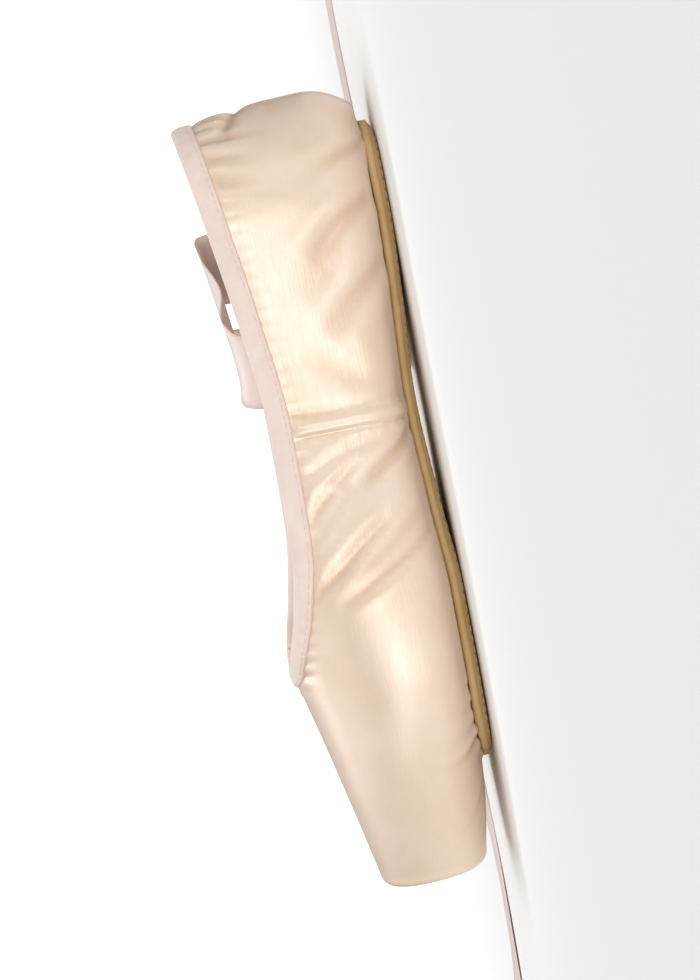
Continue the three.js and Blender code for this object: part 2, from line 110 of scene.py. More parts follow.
# Tone and shade: soft random blotches between two colours, then a deeper colour by a mask, which paints shade where
# the mask follows creases, recesses and joins
def toneAndShadeGroup():
    tree, given, end = newGroup(
        "toneAndShade", "ShaderNodeTree",
        dict(Place="Vector", Size="Float", Light="Color", Dark="Color", Deep="Color", Mask="Float"),
        dict(Color="Color"))
    patches = addNode(tree, "ShaderNodeTexNoise", {
        "Vector": given["Place"], "Scale": given["Size"], "Detail": 4, "Roughness": 0.55})
    share = addNode(tree, "ShaderNodeMapRange", {"Value": patches, "From Min": 0.32, "From Max": 0.68})
    blotch = addNode(tree, "ShaderNodeMix", dict(Factor=share, A=given["Dark"], B=given["Light"]), data_type="RGBA")
    deepen = addNode(tree, "ShaderNodeMix", dict(Factor=given["Mask"], A=blotch, B=given["Deep"]), data_type="RGBA")
    feed(tree, end, dict(Color=deepen))
    return tree


threads = threadGroup()
toneAndShade = toneAndShadeGroup()


# A cloth or leather: blotched colour, deep colour by an attribute (painted shade where it marks creases, recesses or
# joins), streaked bump, streaked roughness
def clothMaterial(name, look):
    material = bpy.data.materials.new(name)
    material.use_nodes = True
    tree = material.node_tree
    where = addNode(tree, "ShaderNodeTexCoord").outputs["UV" if look.get("mapped") else "Object"]
    weave = addNode(tree, "ShaderNodeGroup", node_tree=threads, inputs={
        "Place": where, "Stretch": look.get("stretch", (1.0, 1.0, 1.0)), "Fineness": look["fineness"]})
    shadedTone = addNode(tree, "ShaderNodeGroup", node_tree=toneAndShade, inputs={
        "Place": where, "Size": look["patch"], "Light": light(*look["light"]), "Dark": light(*look["dark"]),
        "Deep": light(*look["deep"])})
    if look.get("mask"):
        mask = addNode(tree, "ShaderNodeAttribute", attribute_name=look["mask"])
        feed(tree, shadedTone, {"Mask": mask.outputs["Fac"]})
    rough = addNode(tree, "ShaderNodeMapRange", {
        "Value": weave.outputs["Tone"], "To Min": look["rough"] - look["spread"],
        "To Max": look["rough"] + look["spread"]})
    bump = addNode(tree, "ShaderNodeBump", {
        "Height": weave.outputs["Height"], "Strength": look["bump"], "Distance": look["relief"]})
    feed(tree, tree.nodes["Principled BSDF"], {
        "Base Color": shadedTone, "Roughness": rough, "Normal": bump,
        "Specular IOR Level": look.get("shine", 0.5), "Metallic": look.get("metal", 0),
        "Coat Weight": look.get("coat", 0), "Coat Roughness": 0.35,
        "Sheen Weight": look.get("sheen", 0), "Sheen Roughness": 0.35,
        "Subsurface Weight": look.get("glow", 0), "Subsurface Scale": 0.003, "Subsurface Radius": (1.0, 0.88, 0.82)})
    return material


# Every piece is left untransformed, rides the one body and hides the frame's node it stands in for, if any
def addPiece(mesh, stands=None):
    piece = bpy.data.objects.new(mesh.name, mesh)
    scene.collection.objects.link(piece)
    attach(piece, "root")
    if stands:
        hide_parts(stands)
    return piece


# Meshes: points in millimetres, faces as lists of point numbers
def makeMesh(name, points, faces, materials, faceMaterial=None, marks=None, flatMap=None):
    mesh = bpy.data.meshes.new(name)
    mesh.from_pydata((np.asarray(points) * 0.001).tolist(), [], [tuple(int(i) for i in f) for f in faces])
    for material in materials:
        mesh.materials.append(material)
    if faceMaterial is not None:
        mesh.polygons.foreach_set("material_index", np.asarray(faceMaterial, dtype=np.int32))
    mesh.polygons.foreach_set("use_smooth", np.ones(len(mesh.polygons), dtype=bool))
    for key, values in (marks or {}).items():
        mesh.attributes.new(key, "FLOAT", "POINT").data.foreach_set("value", np.asarray(values, dtype=np.float32))
    if flatMap is not None:
        corners = np.empty(len(mesh.loops), dtype=np.int32)
        mesh.loops.foreach_get("vertex_index", corners)
        layer = mesh.uv_layers.new(name="cloth")
        layer.data.foreach_set("uv", np.asarray(flatMap, dtype=np.float32)[corners].ravel())
    mesh.validate()
    mesh.update()
    return mesh


# Faces of a grid of point numbers, without repeated corners
def gridFaces(ids, flip=False):
    faces = []
    a, b, c, d = ids[:-1, :-1], ids[1:, :-1], ids[1:, 1:], ids[:-1, 1:]
    for quad in np.stack([a, b, c, d], axis=-1).reshape(-1, 4).tolist():
        kept = [p for i, p in enumerate(quad) if p != quad[i - 1]]
        if len(set(kept)) == len(kept) and len(kept) > 2:
            faces.append(kept[::-1] if flip else kept)
    return faces


# A skin of two layers: the faces, the same turned over, and those that close the open edges
def doubleSkin(faces, count):
    edges = {(f[i - 1], f[i]) for f in faces for i in range(len(f))}
    closing = [[b, a, a + count, b + count] for a, b in edges if (b, a) not in edges]
    return faces + [[p + count for p in f[::-1]] for f in faces] + closing


def unit(v):
    return v / np.maximum(np.linalg.norm(v, axis=-1, keepdims=True), 1e-12)


def vertexNormals(points, faces):
    normals = np.zeros_like(points)
    for size in (3, 4):
        some = np.array([f for f in faces if len(f) == size], dtype=int).reshape(-1, size)
        first, second = points[some[:, 2]] - points[some[:, 0]], points[some[:, 3 % size]] - points[some[:, 1]]
        for corner in range(size):
            np.add.at(normals, some[:, corner], np.cross(first, second))
    return unit(normals)


# Smooth steps, humps, and curves through tables
def smooth(low, high, x):
    t = np.clip((x - low) / (high - low), 0, 1)
    return t * t * (3 - 2 * t)


def hump(x, width):
    return np.exp(-((x / width) ** 2))


def tableCurve(xs, ys):
    xs, ys = np.array(xs, float), np.array(ys, float)
    step = np.diff(xs)
    slopes = np.diff(ys) / step
    bend = np.concatenate([slopes[:1], np.zeros(len(xs) - 2), slopes[-1:]])
    for i in range(1, len(xs) - 1):
        if slopes[i - 1] * slopes[i] > 0:
            before, after = step[i - 1], step[i]
            total = 3 * (before + after)
            bend[i] = total / ((2 * after + before) / slopes[i - 1] + (after + 2 * before) / slopes[i])

    def curve(x):
        x = np.asarray(x, float)
        i = np.clip(np.searchsorted(xs, x) - 1, 0, len(xs) - 2)
        t = np.clip((x - xs[i]) / step[i], 0, 1)
        u = 1 - t
        ends = ys[i] * u * u * (1 + 2 * t) + ys[i + 1] * t * t * (3 - 2 * t)
        return ends + step[i] * t * u * (bend[i] * u - bend[i + 1] * t)

    return curve


# Ribbons: flat satin from the sewn end to the free end, resting on the floor, with a slight wave where free
ribbon = dict(width=22.0, thick=0.4, rows=320, across=9, rest=0.5, lowest=0.35, selvedge=0.9,
              wave=0.28, waveLength=17.0, waveFrom=70.0, waveFull=130.0)
rightRoute = (  # point in millimetres, then the direction of the width
    (-41, -22.4, 26, 0.99, 0, -0.1), (-41, -21.7, 35, 0.99, 0, -0.1), (-41, -20.2, 44.8, 0.99, 0, -0.1),
    (-41, -21, 50, 0.99, 0, -0.1), (-41, -25, 51.8, 0.99, 0, -0.1), (-41, -28.4, 50.6, 0.99, 0, -0.1),
    (-41, -29.1, 46.8, 0.99, 0, -0.1), (-41, -30.4, 34, 1, 0, -0.05), (-41, -31, 20, 1, 0, 0),
    (-41, -31.6, 9, 1, 0, 0), (-41, -34.6, 2.6, 1, 0, 0), (-41, -40.8, 0.5, 1, 0, 0),
    (-40, -64, 0.5, 0.88, 0.47, 0), (-26, -90, 0.5, 0.75, 0.67, 0), (2, -111, 0.5, 0.42, 0.91, 0),
    (38, -120, 0.5, -0.03, 1, 0), (74, -109, 0.5, -0.41, 0.91, 0), (106, -89, 0.5, -0.4, 0.92, 0),
    (140, -80, 0.5, 0.01, 1, 0), (174, -90, 0.5, 0.46, 0.89, 0), (200, -111, 0.5, 0.57, 0.82, 0),
    (230, -129, 0.5, 0.38, 0.93, 0), (256, -134, 0.5, 0.19, 0.98, 0),
)
leftRoute = (
    (-41, 22.4, 26, 0.99, 0, -0.1), (-41, 21.7, 35, 0.99, 0, -0.1), (-41, 20.2, 44.8, 0.99, 0, -0.1),
    (-42, 18.6, 50.3, 0.99, 0, -0.1), (-47, 12, 53.4, 0.95, -0.29, -0.1), (-56, 0, 52.4, 0.9, -0.43, -0.1),
    (-65, -13, 55.8, 0.95, -0.29, -0.13), (-70, -22.3, 56.2, 0.99, 0, -0.13), (-71, -28, 54.2, 0.99, 0, -0.13),
    (-71, -28.7, 50.4, 0.99, 0, -0.13), (-71, -30.1, 34, 1, 0, -0.07), (-71, -30.6, 20, 1, 0, 0),
    (-71, -31.2, 9, 1, 0, 0), (-71, -34.2, 2.6, 1, 0, 0), (-71, -40.4, 0.5, 1, 0, 0),
    (-73, -64, 0.5, 0.85, -0.52, 0), (-89, -90, 0.5, 0.68, -0.73, 0), (-118, -106, 0.5, 0.25, -0.97, 0),
    (-156, -107, 0.5, -0.27, -0.96, 0), (-186, -87, 0.5, -0.76, -0.65, 0), (-202, -53, 0.5, -0.97, -0.25, 0),
    (-204, -16, 0.5, -0.99, 0.14, 0), (-192, 20, 0.5, -0.87, 0.49, 0), (-168, 48, 0.5, -0.76, 0.65, 0),
)
ribbonSatin = clothMaterial("ribbonSatin", dict(
    light=(249, 231, 224), dark=(243, 221, 212), deep=(234, 206, 195), mask="edge", patch=0.6,
    stretch=(1.0, 22.0, 1.0), fineness=26.0, rough=0.42, spread=0.1, bump=0.25, relief=0.0002,
    sheen=0.1, shine=0.3, glow=0.12, mapped=True))


# Smooth curve through a route, evenly spaced, with the width direction carried along
def followRoute(route, count):
    points, wides = np.array(route, float)[:, :3], np.array(route, float)[:, 3:]
    padded = np.vstack([2 * points[0] - points[1], points, 2 * points[-1] - points[-2]])
    t = np.arange(40)[:, None] / 40
    places, widths = [], []
    for i in range(len(points) - 1):
        p0, p1, p2, p3 = padded[i : i + 4]
        d0, d1, d2 = (math.sqrt(np.linalg.norm(b - a)) for a, b in ((p0, p1), (p1, p2), (p2, p3)))
        into = ((p1 - p0) / d0 - (p2 - p0) / (d0 + d1) + (p2 - p1) / d1) * d1
        outOf = ((p2 - p1) / d1 - (p3 - p1) / (d1 + d2) + (p3 - p2) / d2) * d1
        bend = (2 * t**3 - 3 * t**2 + 1) * p1 + (t**3 - 2 * t**2 + t) * into
        places.append(bend + (3 * t**2 - 2 * t**3) * p2 + (t**3 - t**2) * outOf)
        widths.append(wides[i] * (1 - t) + wides[i + 1] * t)
    places, widths = np.vstack(places + [points[-1:]]), np.vstack(widths + [wides[-1:]])
    gone = np.concatenate([[0], np.cumsum(np.linalg.norm(np.diff(places, axis=0), axis=1))])
    even = np.linspace(0, gone[-1], count)
    centre, wide = (np.stack([np.interp(even, gone, p[:, k]) for k in range(3)], axis=1) for p in (places, widths))
    ahead = unit(np.gradient(centre, axis=0))
    wide = unit(wide - ahead * np.sum(ahead * wide, axis=1, keepdims=True))
    return even, centre, wide, np.cross(ahead, wide)


def makeRibbon(name, route):
    along, centre, wide, flat = followRoute(route, ribbon["rows"])
    share = np.linspace(-1, 1, ribbon["across"])
    centre[:, 2] = np.maximum(centre[:, 2], ribbon["rest"])
    free = smooth(ribbon["waveFrom"], ribbon["waveFull"], along)
    wave = ribbon["wave"] * (np.sin(along / ribbon["waveLength"]) * free)[:, None] * share[None]
    up = np.where(flat[:, 2:3] < 0, -1.0, 1.0) * flat
    middle = centre[:, None] + wide[:, None] * (share * ribbon["width"] / 2)[None, :, None]
    middle = middle + up[:, None] * wave[:, :, None]
    middle[:, :, 2] = np.maximum(middle[:, :, 2], ribbon["lowest"])
    onEdge = np.abs(share) > ribbon["selvedge"]
    out = flat[:, None] * (np.where(onEdge, 0.62, 0.5) * ribbon["thick"])[None, :, None]
    count = len(along) * len(share)
    faces = doubleSkin(gridFaces(np.arange(count).reshape(len(along), len(share))), count)
    points = np.vstack([(middle + out).reshape(-1, 3), (middle - out).reshape(-1, 3)])
    edge = np.tile(np.where(onEdge, 0.55, 0.0), 2 * len(along))
    flatMap = np.stack([np.repeat(along, len(share)) / 22, np.tile(share, len(along)) * 0.5], axis=1)
    mesh = makeMesh(name + "_cloth", points, faces, [ribbonSatin], marks=dict(edge=edge),
                    flatMap=np.tile(flatMap, (2, 1)))
    piece = addPiece(mesh, name)
    print(f"stage: {name}, {along[-1]:.0f} mm long")


makeRibbon("ribbon_right", rightRoute)
makeRibbon("ribbon_left", leftRoute)

# The last, repeated from the solid, in millimetres: sizes, then a row per section
last = dict(length=236.0, ball=40.0, girth=20.0, toeGirth=23.0, heelTop=58.0, heelRound=34.0, toeEdge=2.6,
            tilt=0.07, tiltTop=36.0, throat=168.0, throatReach=55.0, collar=0.9, wall=1.8)
lastRows = np.array((  # share of the length, share of the ball, underside, collar or crown
    (0, 0.7, 5.2, 58), (0.07, 0.704, 3.3, 55.6), (0.15, 0.708, 3.3, 53), (0.26, 0.712, 4.5, 49.6),
    (0.4, 0.738, 6.5, 46.6), (0.54, 0.86, 4.9, 47), (0.63, 0.962, 3.3, 50), (0.712, 1, 3.3, 54),
    (0.8, 0.935, 3.4, 49.4), (0.87, 0.835, 3.9, 45.9), (0.92, 0.74, 5, 43.4), (0.966, 0.622, 6.4, 41.2),
    (1, 0.52, 7.7, 39.6)))
soleRows = np.array((  # distance from the heel back, half width of the outsole
    (11, 18.5), (35, 18.5), (60, 16.4), (88, 15), (115, 18), (145, 24.2), (168, 26.4), (190, 25.4), (204, 24)))
solePlan = dict(heel=11.0, heelTurn=19.0, toe=204.0, toeTurn=24.0)  # ends of the outsole and their rounding
fullLength = last["length"]
heelTurn = last["heelRound"] * math.pi / 2
planHalf = tableCurve(lastRows[:, 0] * fullLength, lastRows[:, 1] * last["ball"])
underside = tableCurve(lastRows[:, 0] * fullLength, lastRows[:, 2])
rimHeight = tableCurve(lastRows[:, 0] * fullLength, lastRows[:, 3])
soleWidth = tableCurve(soleRows[:, 0], soleRows[:, 1])


# Distance from the heel back for a way gone round the plan, and the way for a distance
def stationOf(run):
    turn = np.minimum(np.abs(run) / last["heelRound"], math.pi / 2)
    past = np.maximum(np.abs(run) - heelTurn, 0)
    return last["heelRound"] * (1 - np.cos(turn)) + past


def runOf(at):
    turn = np.arccos(np.clip(1 - np.asarray(at, float) / last["heelRound"], 0, 1))
    return last["heelRound"] * turn + np.maximum(np.asarray(at, float) - last["heelRound"], 0)


def sectionOf(run):
    at = stationOf(run)
    turn = np.minimum(math.pi / 2, np.abs(run) / last["heelRound"])
    behind = np.maximum(0, last["throat"] - at)
    ease = 1 - np.minimum(1, behind / last["throatReach"])
    share = np.where(behind > 0, last["collar"] * np.sqrt(np.maximum(0, 1 - ease * ease)), 0)
    middle = last["girth"] + (last["toeGirth"] - last["girth"]) * smooth(0.75 * fullLength, fullLength, at)
    half = planHalf(at) * np.sin(turn) * np.where(run < 0, -1, 1)
    crown = middle + (rimHeight(at) - middle) / np.sqrt(1 - share * share)
    square = smooth(last["throat"], fullLength, at)
    return dict(at=at, half=half, middle=middle, crown=crown, share=share, low=underside(at),
                top=2 + 0.5 * square, base=3.5 - 0.9 * square)


def leanOf(at, z):
    fade = np.maximum(0, 1 - at / 60) ** 2
    above = np.maximum(0, (z - last["girth"]) / (last["heelTop"] - last["girth"]))
    below = np.maximum(0, (last["girth"] - z) / 15)
    tilt = last["tilt"] * (z - last["tiltTop"]) * smooth(0.85 * fullLength, fullLength, at)
    return fade * (5 * above * above + 6 * below * below) + tilt


# Point of the outer surface: angle 0 at the crown, a half turn underneath
def surfacePoint(run, angle, inset=0.0, ahead=0.0):
    s = sectionOf(run)
    across, up = np.sin(angle), np.cos(angle)
    power = np.where(up > 0, s["top"], s["base"])
    tall = np.where(up > 0, s["crown"] - s["middle"], s["middle"] - s["low"]) - inset
    half = np.sign(s["half"]) * np.maximum(0, np.abs(s["half"]) - inset)
    y = np.sign(across) * half * np.abs(across) ** (2 / power)
    z = s["middle"] + np.sign(up) * tall * np.abs(up) ** (2 / power)
    x = s["at"] + ahead + leanOf(s["at"] + ahead, z) - fullLength / 2
    return np.stack(np.broadcast_arrays(x, y, z), axis=-1)


def undersideAt(at, y):
    start = np.asarray(at, float)
    z = np.zeros(np.broadcast(start, y).shape)
    for _ in range(6):
        s = sectionOf(runOf(np.maximum(0.5, start)))
        share = np.minimum(1, np.abs(y / s["half"]))
        z = s["middle"] - (s["middle"] - s["low"]) * (1 - share ** s["base"]) ** (1 / s["base"])
        start = at - leanOf(s["at"], z)
    return z


# Rounding of a sheet's two ends: 0 at the tips, 1 between them
def endShare(at, heel, heelLength, toe, toeLength, toePower):
    heelEnd = np.clip((at - heel) / heelLength, 0, 1)
    toeEnd = np.clip((toe - at) / toeLength, 0, 1)
    return np.sqrt(1 - (1 - heelEnd) ** 2) * np.sqrt(1 - (1 - toeEnd) ** toePower)


def soleHalf(at):
    return soleWidth(at) * endShare(at, *solePlan.values(), 2.4)


# Distances from a set of places to the nearest point of a line
def nearest(places, line):
    flat = places.reshape(-1, places.shape[-1])
    best = np.full(len(flat), 1e9)
    for start in range(0, len(line), 40):
        some = line[start : start + 40]
        best = np.minimum(best, np.linalg.norm(flat[:, None, :] - some[None], axis=2).min(axis=1))
    return best.reshape(places.shape[:-1])


def collarLine():
    throat = last["throat"] - last["throatReach"] * (1 - np.cos(np.linspace(math.pi / 2, 0, 70)))
    run = runOf(np.concatenate([stationOf(np.linspace(0, heelTurn, 60)), np.linspace(34.5, 112, 90), throat]))
    return run, surfacePoint(run, np.arcsin(sectionOf(run)["share"]))


# Upper: half the last as a fine grid, then its seams, folds, gathers and pleats as a height over it
folds = dict(
    near=(  # three points as distance from the heel back and share of the height, then depth and width
        (106, 0.52, 115, 0.75, 126, 0.95, 0.7, 1.5), (100.5, 0.02, 106, 0.28, 115, 0.54, 0.75, 1.5),
        (123.5, 0.42, 134, 0.69, 146, 0.94, 0.75, 1.5), (128.5, 0.06, 138, 0.42, 148, 0.74, 0.6, 1.6),
        (110, 0.5, 119, 0.72, 131, 0.93, 0.3, 1.2), (117, 0.22, 124, 0.42, 131, 0.58, 0.3, 1.3),
        (130, 0.55, 138, 0.72, 147, 0.88, 0.3, 1.2), (100, 0.3, 104, 0.6, 111, 0.92, 0.35, 1.8),
        (101, 0.05, 112, 0.5, 127, 0.95, 0.5, 5.0), (122, 0.1, 133, 0.5, 147, 0.9, 0.45, 5.0),
        (30, 0.02, 37, 0.27, 48, 0.52, 0.85, 2.6), (49, 0.02, 58, 0.28, 70, 0.53, 0.75, 2.8),
        (14, 0.08, 18, 0.22, 24, 0.4, 0.7, 2.4), (38, 0.1, 46, 0.36, 58, 0.62, 0.4, 4.0),
        (90, 0.12, 84, 0.4, 71, 0.72, 0.35, 4.2),
    ),
    far=(
        (102, 0.04, 112, 0.42, 125, 0.9, 0.7, 1.7), (122, 0.36, 132, 0.62, 143, 0.9, 0.6, 1.6),
        (134, 0.08, 142, 0.4, 150, 0.7, 0.5, 1.7), (111, 0.45, 120, 0.7, 131, 0.92, 0.3, 1.3),
        (103, 0.06, 113, 0.5, 128, 0.95, 0.45, 5.0), (40, 0.05, 50, 0.26, 61, 0.48, 0.7, 3.4),
        (35, 0.1, 37, 0.38, 43, 0.62, 0.5, 3.8), (91, 0.15, 83, 0.4, 70, 0.66, 0.4, 4.4),
    ),
    gathers=dict(  # at the heel top: distance along the collar, depth, reach, slant
        near=((4.5, 0.8, 11, 0.1), (11, 0.6, 8, 0.2), (18.5, 0.9, 13, 0.25), (27, 0.6, 9, 0.3), (36, 0.7, 11, 0.3)),
        far=((5.5, 0.7, 10, 0.1), (13, 0.8, 12, 0.2), (21, 0.6, 8, 0.25), (30, 0.7, 11, 0.3)),
    ),
    pinch=dict(  # across the heel back: way below the collar, side reach, way below it there, depth, width
        near=(19, 26, 12, 1.15, 2.4),
        far=(19, 17, 24, 1.15, 2.4),
    ),
    pleats=dict(  # under the toe: direction in degrees from straight ahead, depth, reach
        near=((9, 0.45, 17), (21, 0.3, 6), (33, 0.8, 16), (46, 0.5, 6), (60, 1.2, 9), (70, 0.55, 6), (82, 0.5, 7),
              (94, 0.35, 5)),
        far=((15, 0.35, 8), (28, 0.5, 14), (42, 0.5, 7), (56, 0.9, 11), (68, 1.1, 9), (80, 0.6, 7), (92, 0.4, 5)),
    ),
    pleatsFrom=180.0, sideHeight=46.0, tapeEnd=4.5, tapeClear=6.0,
    seam=dict(at=95.0, rise=0.6, groove=0.55, hollow=0.3, pucker=0.06, puckerPitch=4.1),
    strip=dict(half=3.8, rise=0.45, groove=0.35, middle=0.4),
    ripple=dict(pitch=4.6, height=0.16, reach=3.5),
    soleRoll=dict(up=3.2, width=2.2, rise=0.45, tuck=0.35),
    uneven=0.14,
)
# The satin's deep golden colour is painted shade, laid into folds, seams, gathers and pleats by the crease mask
satin = clothMaterial("satin", dict(
    light=(242, 220, 201), dark=(236, 211, 187), deep=(204, 166, 127), mask="creaseShade", patch=50.0,
    stretch=(0.06, 1.0, 1.0), fineness=1500.0, rough=0.34, spread=0.1, bump=0.22, relief=0.00025,
    shine=0.65, coat=0.12, metal=0.2))
lining = clothMaterial("lining", dict(
    light=(241, 229, 214), dark=(233, 218, 200), deep=(222, 205, 186), patch=90.0,
    fineness=1400.0, rough=0.85, spread=0.05, bump=0.4, relief=0.0003))


# Soft trough along a bent line over the side, with a low ridge on each hand of it
def foldHeight(along, share, fold):
    first, mid, final = np.reshape(fold[:6], (3, 2)) * (1, folds["sideHeight"])
    depth, width = fold[6:]
    steps = 12
    t = np.linspace(0, 1, steps + 1)[:, None]
    line = (1 - t) ** 2 * first + 2 * t * (1 - t) * (2 * mid - 0.5 * (first + final)) + t**2 * final
    places = np.stack([along, share * folds["sideHeight"]], axis=-1)
    best = np.full(along.shape, 1e9)
    gone = np.zeros(along.shape)
    for i in range(steps):
        a, b = line[i], line[i + 1]
        part = np.clip(((places - a) @ (b - a)) / ((b - a) @ (b - a)), 0, 1)
        away = np.linalg.norm(places - a - part[..., None] * (b - a), axis=-1)
        closer = away < best
        best = np.where(closer, away, best)
        gone = np.where(closer, (i + part) / steps, gone)
    taper = np.sin(np.pi * np.clip(gone, 0, 1)) ** 0.6
    return depth * taper * (0.5 * hump(best - 2.1 * width, 1.2 * width) - hump(best, width))


# Sections of the grid, closer together at the side seam, round the throat and over the toe
def upperStations():
    turns = np.linspace(math.pi / 2, 0, 44)[1:]
    throat = last["throat"] - last["throatReach"] * (1 - np.cos(turns))
    body = np.concatenate([
        stationOf(np.linspace(0, heelTurn, 38)), np.arange(35.5, 89, 1.55), np.arange(89.4, 102, 0.7),
        np.arange(102.6, 113, 1.2), throat, np.arange(169.2, 189, 1.4), np.arange(189.5, 233, 0.95), [233.4]])
    return runOf(np.unique(np.round(body, 4)))


# Angles of each section from the collar to the sole opening, evenly spaced, with the distance gone
def sectionAngles(run, count):
    s = sectionOf(run)
    first = np.arcsin(s["share"])
    half = np.maximum(np.abs(s["half"]), 1e-6)
    opening = np.where(soleHalf(s["at"]) - 6 > 1, np.clip((soleHalf(s["at"]) - 6) / half, 0, 1), 0)
    final = math.pi - np.arcsin(opening ** (s["base"] / 2))
    fine = 0.5 - 0.5 * np.cos(np.linspace(0, math.pi, 420))
    angles = first[:, None] + (final - first)[:, None] * fine[None]
    steps = np.linalg.norm(np.diff(surfacePoint(run[:, None], angles), axis=1), axis=2)
    gone = np.concatenate([np.zeros((len(run), 1)), np.cumsum(steps, axis=1)], axis=1)
    spread = np.linspace(0, 1, count)
    even = np.stack([np.interp(spread * g[-1], g, a) for g, a in zip(gone, angles)])
    soleEdge = math.pi - np.arcsin(np.clip(soleHalf(s["at"]) / half, 0, 1) ** (s["base"] / 2))
    edgeGone = np.array([np.interp(e, a, g) for e, a, g in zip(soleEdge, angles, gone)])
    return even, spread[None] * gone[:, -1:], edgeGone


# Surface softened along the shoe over the vamp, so that the gloss runs through it
def easedPoint(run, angle):
    at = stationOf(run)
    shifts = np.linspace(-10, 10, 15)
    weights = hump(shifts, 5.5)
    reach = 1 + 0.9 * smooth(160, 190, at) * (1 - smooth(205, 222, at))
    plain = surfacePoint(run, angle)
    eased = sum(w * surfacePoint(run + shift * reach, angle) for w, shift in zip(weights, shifts)) / weights.sum()
    onVamp = smooth(145, 166, at) * (1 - smooth(212, 224, at))
    share = onVamp * smooth(folds["tapeEnd"], 10, nearest(plain, collarLine()[1]))
    return plain + (eased - plain) * share[..., None]


# Grid of the half shoe, with rows for the toe's rounded edge and its flat platform
def upperHalf(count=84):
    run = upperStations()
    angles, gone, edgeGone = sectionAngles(run, count)
    rows = list(easedPoint(run[:, None], angles))
    for turn in np.linspace(0, math.pi / 2, 9)[1:]:
        inset, ahead = last["toeEdge"] * (1 - math.cos(turn)), last["toeEdge"] * math.sin(turn)
        rows.append(surfacePoint(run[-1], angles[-1], inset, ahead))
    edge = rows[-1]
    centre = (edge[0] + edge[-1]) / 2
    for share in (0.12, 0.3, 0.5, 0.7, 0.85, 1):
        rows.append(edge + (centre - edge) * share)
    more = len(rows) - len(run)
    pad = lambda a: np.concatenate([a, np.repeat(a[-1:], more, axis=0)])
    return np.array(rows), pad(run), pad(gone), pad(edgeGone)


# Pleats fan out under the toe from the sole's front end
def toePleats(points, pleats):
    start = folds["pleatsFrom"]
    at = np.linspace(start, solePlan["toe"] - 0.001, 160)
    bearing = np.degrees(np.arctan2(soleHalf(at), at - start))[::-1]
    outline = np.hypot(soleHalf(at), at - start)[::-1]
    ahead, aside = points[..., 0] + fullLength / 2 - start, np.abs(points[..., 1])
    way, far = np.degrees(np.arctan2(aside, ahead)), np.hypot(aside, ahead)
    past = far - np.interp(way, bearing, outline)
    height = np.zeros(way.shape)
    for angle, depth, length in pleats:
        off = np.radians(way - angle) * far
        fall = smooth(-2.5, 0.5, past) * hump(np.maximum(past - 1, 0), length)
        height += depth * fall * (0.55 * hump(off - 2.3, 1.5) - hump(off, 1.05))
    return height * (1 - smooth(12, 24, points[..., 2])) * (np.abs(way) < 110)


# Heel back: gathers and a ripple under the tape, a pinched fold across, and the strip down the back seam
def heelHeight(along, up, fromCollar, below, hand):
    pastTape = np.maximum(fromCollar - folds["tapeClear"], 0)
    height = np.zeros(along.shape)
    for spot, depth, length, slant in folds["gathers"][hand]:
        off = along - spot - slant * fromCollar
        fall = smooth(folds["tapeEnd"], 7, fromCollar) * hump(pastTape, length)
        height += depth * fall * (0.5 * hump(off - 4, 2.4) - hump(off, 1.9))
    ripple, strip = folds["ripple"], folds["strip"]
    swell = np.sin(along * 2 * math.pi / ripple["pitch"] + 0.7 * np.sin(along / 9))
    fall = smooth(folds["tapeEnd"], folds["tapeClear"], fromCollar) * hump(pastTape, ripple["reach"])
    height += ripple["height"] * swell * fall
    start, reach, finish, depth, width = folds["pinch"][hand]
    off = fromCollar - start - (finish - start) * np.clip(along / reach, 0, 1)
    lips = 0.5 * hump(off + 2.9 * width, 1.9 * width) + 0.25 * hump(off - 2.9 * width, 1.9 * width)
    height += depth * (1 - smooth(0.4 * reach, reach, along)) * below * (lips - hump(off, width))
    fromStrip = along - strip["half"]
    raised = strip["rise"] * (1 - smooth(-0.4, 0.4, fromStrip)) - strip["groove"] * hump(fromStrip - 0.8, 0.6)
    return height + below * (raised - strip["middle"] * hump(along, 0.45)) * smooth(-1, 3, up)


# Side seam: raised edge, stitched groove before it, hollow behind it, faint pucker on both hands
def seamHeight(at, up):
    seam = folds["seam"]
    off = at - seam["at"]
    raised = seam["rise"] * (1 - smooth(1.6, 2.3, np.abs(off)))
    hollows = seam["groove"] * hump(off - 2.5, 0.55) + seam["hollow"] * hump(off + 4.2, 1.7)
    pucker = seam["pucker"] * np.sin(up * 2 * math.pi / seam["puckerPitch"]) * hump(np.abs(off) - 3, 2)
    return (raised - hollows + pucker * (np.abs(off) > 2)) * smooth(1, 6, up)


def upperHeight(points, run, gone, edgeGone, hand):
    at = np.broadcast_to(stationOf(run)[:, None], gone.shape)
    along = np.broadcast_to(run[:, None], gone.shape)
    up = edgeGone[:, None] - gone  # way up from the sole's edge
    share = up / np.maximum(edgeGone[:, None], 1)
    fromCollar = nearest(points, collarLine()[1])
    below = smooth(4.6, 8.5, fromCollar)
    side = sum(foldHeight(at, share, fold) for fold in folds[hand]) + seamHeight(at, up)
    height = side * below * smooth(-3, 2, up) + heelHeight(along, up, fromCollar, below, hand)
    rolled = folds["soleRoll"]
    overSole = rolled["rise"] * hump(up - rolled["up"], rolled["width"]) - rolled["tuck"] * hump(up, 1.0)
    height += smooth(2, 8, soleHalf(at)) * overSole + toePleats(points, folds["pleats"][hand])
    tall = points[..., 2] - 4
    soft = np.sin(at / 12.7 + 1.1) * np.sin(tall / 8.3 + 0.4) + 0.6 * np.sin(at / 7.1 + tall / 10.5 + 2.0)
    return height + folds["uneven"] * soft * below * smooth(4, 11, up)


